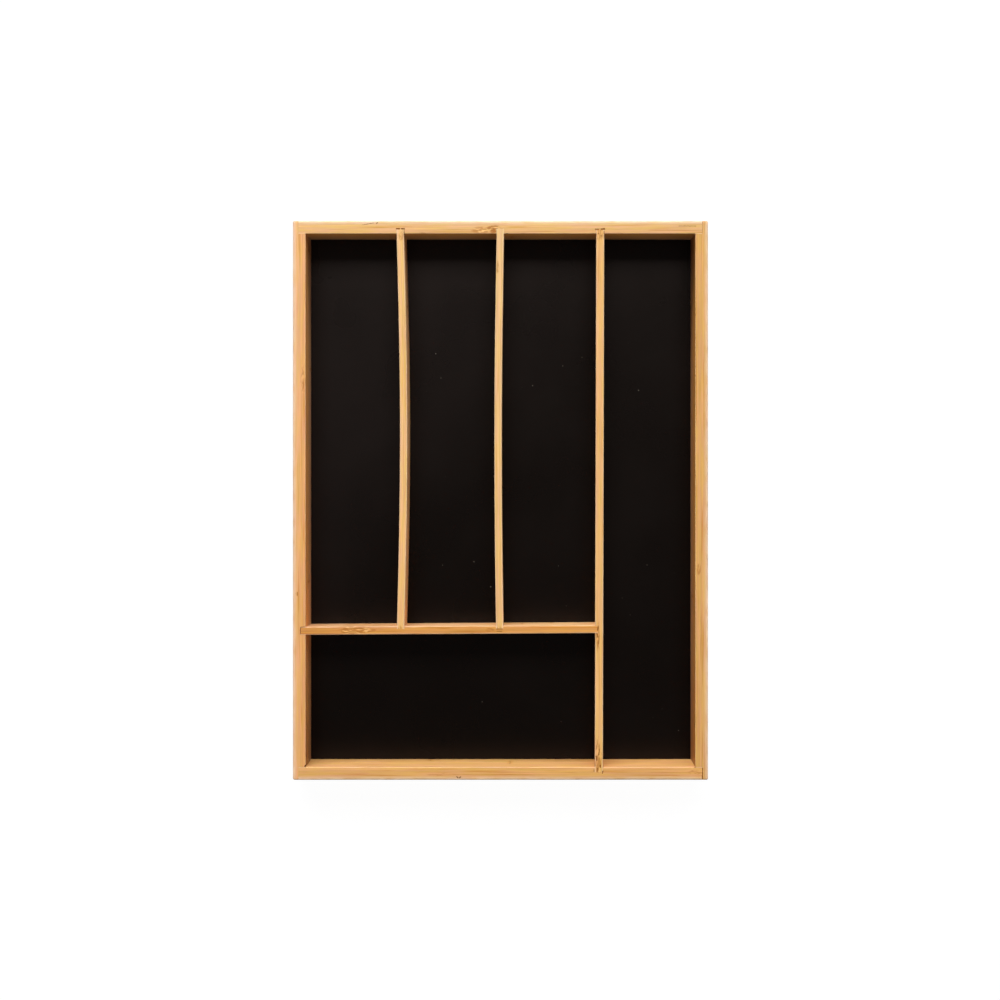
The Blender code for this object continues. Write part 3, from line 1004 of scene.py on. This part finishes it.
# Lint on the base, in plan in millimetres: x, y, radius
LINT = (
    (-41.8, 93.6, 0.42),
    (-38.5, 78.0, 0.36),
    (52.2, 91.2, 0.28),
    (39.8, 85.8, 0.40),
    (20.4, 73.1, 0.46),
    (88.5, 70.1, 0.52),
    (-6.5, -56.2, 0.53),
    (-12.0, -130.2, 0.42),
    (78.0, -63.4, 0.20),
    (83.1, -74.3, 0.24),
    (42.0, -68.5, 0.22),
    (103.7, -134.6, 0.20),
    (38.7, -142.9, 0.26),
    (114.2, -148.6, 0.36),
    (37.0, -42.8, 0.31),
    (94.0, -42.2, 0.34),
    (-37.4, -42.3, 0.31),
    (-17.3, -40.1, 0.42),
)
LINT_CORE = 0.5  # share of its radius in which a speck is solid
LINT_TONE = screen(96, 92, 84)
# Fine dust everywhere: how often in a millimetre, where a speck fades out, and how strong it is
DUST = 0.09
DUST_EDGE = (0.008, 0.016)
DUST_SHARE = 0.5
# The coating, bare and where a painted sheen makes it lighter
BARE_BLACK = screen(3, 1, 0)
SHEEN_BLACK = screen(17, 13, 12)
SHEEN_SLANT = -1.3  # how fast the painted sheen fades to the right, beside how it grows to the back
SHEEN_EDGE = (-10.0, 220.0)
SHEEN_CLOUDS = 0.1
CLOUDS = 0.018  # how often in a millimetre
CLOUD_EDGE = (0.3, 0.7)
PEEL = 1.6  # how often in a millimetre
PEEL_DEPTH = 0.00008
PEEL_BUMP = 0.25
BOARD_ROUGHNESS = 0.24
BOARD_CLOUDS = 0.08
BOARD_GLOSS = 0.17
BOARD_TINT = (1.0, 0.80, 0.72, 1.0)


def coated_board():
    """The base's finish: near-black satin coating on fibreboard, with lint and fine dust, and a
    painted sheen that makes it lighter towards the back left."""
    material, shader, w = new_finish("black_board_coating")
    place = w.scaled(w.node("TexCoord").outputs["Object"], 1 / MM)
    cloud = w.noise(place, scale=CLOUDS, detail=3.0)
    peel = w.noise(place, scale=PEEL, detail=3.0, roughness=0.6)
    rightward, backward, _ = w.parts(place)
    # Painted sheen: lighter towards the back left and fading to the front right
    sheen = w.ramp(w.math("MULTIPLY_ADD", rightward, SHEEN_SLANT, backward), *SHEEN_EDGE)
    cloudy = w.ramp(cloud, *CLOUD_EDGE, -SHEEN_CLOUDS, SHEEN_CLOUDS)
    sheen = w.math("ADD", sheen, cloudy, clamp=True)
    specks = 0.0
    for x, y, radius in LINT:
        off = w.length(w.vector("SUBTRACT", place, (x, y, BASE_HIGH.z / MM)))
        specks = w.math("MAXIMUM", w.ramp(off, radius * LINT_CORE, radius, 1.0, 0.0), specks)
    dust = w.node("TexVoronoi", {"Vector": place, "Scale": DUST}).outputs[0]
    specks = w.math("MAXIMUM", specks, w.ramp(dust, *DUST_EDGE, DUST_SHARE, 0.0))
    coating = {
        "Base Color": w.mix(specks, w.mix(sheen, BARE_BLACK, SHEEN_BLACK), LINT_TONE),
        "Roughness": w.math("MULTIPLY_ADD", cloud, BOARD_CLOUDS, BOARD_ROUGHNESS),
        "Normal": w.bump(w.math("ADD", peel, specks), PEEL_BUMP, PEEL_DEPTH),
        "Specular IOR Level": BOARD_GLOSS,
        "Specular Tint": BOARD_TINT,
    }
    w.feed(shader, coating)
    return material


# The studio

# The camera looks straight down, in the photograph's frame
CAMERA_AT = (0.0095, 0.0255, 1.610)
LENS = 89.7
SENSOR = 36.0
SHIFT = (-0.0156, -0.0403)
SIGHT = 50.0  # how far the camera sees

# Soft lamps, all aimed at the tray: place, width and height, and power in watts
LAMPS = {
    "left_window": ((-1.2, 4.0, 1.9), (2.0, 1.2), 90.0),
    "middle_window": ((0.0, 4.2, 2.0), (1.8, 1.6), 49.0),
    "right_window": ((2.2, 3.6, 2.2), (1.8, 1.6), 47.0),
    "ceiling_panel": ((0.0, 1.8, 3.5), (2.4, 1.2), 99.0),
    "right_fill": ((4.2, 0.0, 1.7), (4.0, 1.2), 14.0),
    "front_fill": ((0.0, -4.2, 1.8), (4.0, 1.2), 25.0),
}
AMBIENT = 0.03
CEILING = 0.2  # how bright the ceiling is in reflections
CEILING_EDGE = (0.25, 0.8)  # how high up the white of the walls fades into it
WHITE = (1.0, 1.0, 1.0, 1.0)
FLOOR_SIZE = 9.0
FLOOR_DROP = 0.0002  # how far it lies below the tray
FLOOR_GREY = (0.8, 0.8, 0.8, 1.0)  # as the tray sees it
FLOOR_SHADE = (0.05, 0.05, 0.05, 1.0)  # what takes the shadow that the camera sees
FLOOR_WHITE = 0.975


def background_rays(w):
    """1 for the rays that show the background, which are the camera's own and those of gloss and
    glass, and 1 for the camera's own alone."""
    paths = w.node("LightPath").outputs
    gloss = w.math("MAXIMUM", paths["Is Glossy Ray"], paths["Is Transmission Ray"])
    return w.math("MAXIMUM", paths["Is Camera Ray"], gloss), paths["Is Camera Ray"]


def build_floor():
    """A pale floor that takes a faint shadow. From below it is clear, so the underside shows."""
    shape = bmesh.new()
    bmesh.ops.create_grid(shape, x_segments=8, y_segments=8, size=FLOOR_SIZE)
    floor = make("floor", shape, Matrix.Translation((0, 0, -FLOOR_DROP)))
    material = bpy.data.materials.new("white_floor")
    material.use_nodes = True
    tree = material.node_tree
    tree.nodes.clear()
    w = Wiring(tree)
    shown, _ = background_rays(w)
    bounce = w.node("BsdfDiffuse", {"Color": FLOOR_GREY})
    shade = w.node("BsdfDiffuse", {"Color": FLOOR_SHADE})
    white = w.node("Emission", {"Color": WHITE, "Strength": FLOOR_WHITE})
    seen = w.node("AddShader", {0: shade.outputs[0], 1: white.outputs[0]})
    above = w.node("MixShader", {0: shown, 1: bounce.outputs[0], 2: seen.outputs[0]})
    clear = w.node("BsdfTransparent")
    beneath = w.node("NewGeometry").outputs["Backfacing"]
    both = w.node("MixShader", {0: beneath, 1: above.outputs[0], 2: clear.outputs[0]})
    w.node("OutputMaterial", {"Surface": both.outputs[0]})
    floor.data.materials.append(material)


def build_world():
    """White behind everything, and a dimmer even light: the ceiling is not white."""
    world = bpy.data.worlds.new("studio")
    bpy.context.scene.world = world
    world.use_nodes = True
    world.node_tree.nodes.clear()
    w = Wiring(world.node_tree)
    shown, camera_ray = background_rays(w)
    height = w.parts(w.node("TexCoord").outputs["Generated"])["Z"]
    level = w.ramp(height, *CEILING_EDGE, 1.0, CEILING)
    white = w.math("MAXIMUM", w.times(shown, level), camera_ray)
    strength = w.math("MULTIPLY_ADD", white, 1.0 - AMBIENT, AMBIENT)
    background = w.node("Background", {"Color": WHITE, "Strength": strength})
    w.node("OutputWorld", {"Surface": background.outputs[0]})


def build_lamps():
    """Three low windows behind the tray, a soft panel above it, and two faint lights to fill
    the shadows."""
    for name, (place, size, power) in LAMPS.items():
        light = bpy.data.lights.new(name, "AREA")
        light.shape = "RECTANGLE"
        light.size, light.size_y = size
        light.energy = power
        lamp = add(name, light)
        lamp.location = place
        lamp.rotation_euler = (-Vector(place)).to_track_quat("-Z", "Y").to_euler()


def build_camera():
    """The photograph's view. Depth of field stays off."""
    data = bpy.data.cameras.new("camera")
    data.lens = LENS
    data.sensor_width = SENSOR
    data.shift_x, data.shift_y = SHIFT
    data.clip_end = SIGHT
    camera = add("camera", data)
    camera.location = CAMERA_AT
    bpy.context.scene.camera = camera


def main():
    """Dresses the tray, and puts it in the studio."""
    boards, places = build_boards()
    effects = build_effects()
    for name, board in boards.items():
        if name.endswith("wall"):
            thickness = WALL
        else:
            thickness = SPRUNG_DIVIDER if name in SPRUNG_ONES else DIVIDER
        half_length = max(vertex.co.y for vertex in board.data.vertices)
        finish = bamboo(name, places[name], thickness / 2, half_length, effects)
        board.data.materials.clear()
        board.data.materials.append(finish)
        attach(board, "root")
        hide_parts(name)
    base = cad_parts["base_panel"]
    base.material_slots[0].material = coated_board()
    build_floor()
    build_world()
    build_lamps()
    build_camera()
    bpy.context.scene.view_settings.view_transform = "Standard"


main()
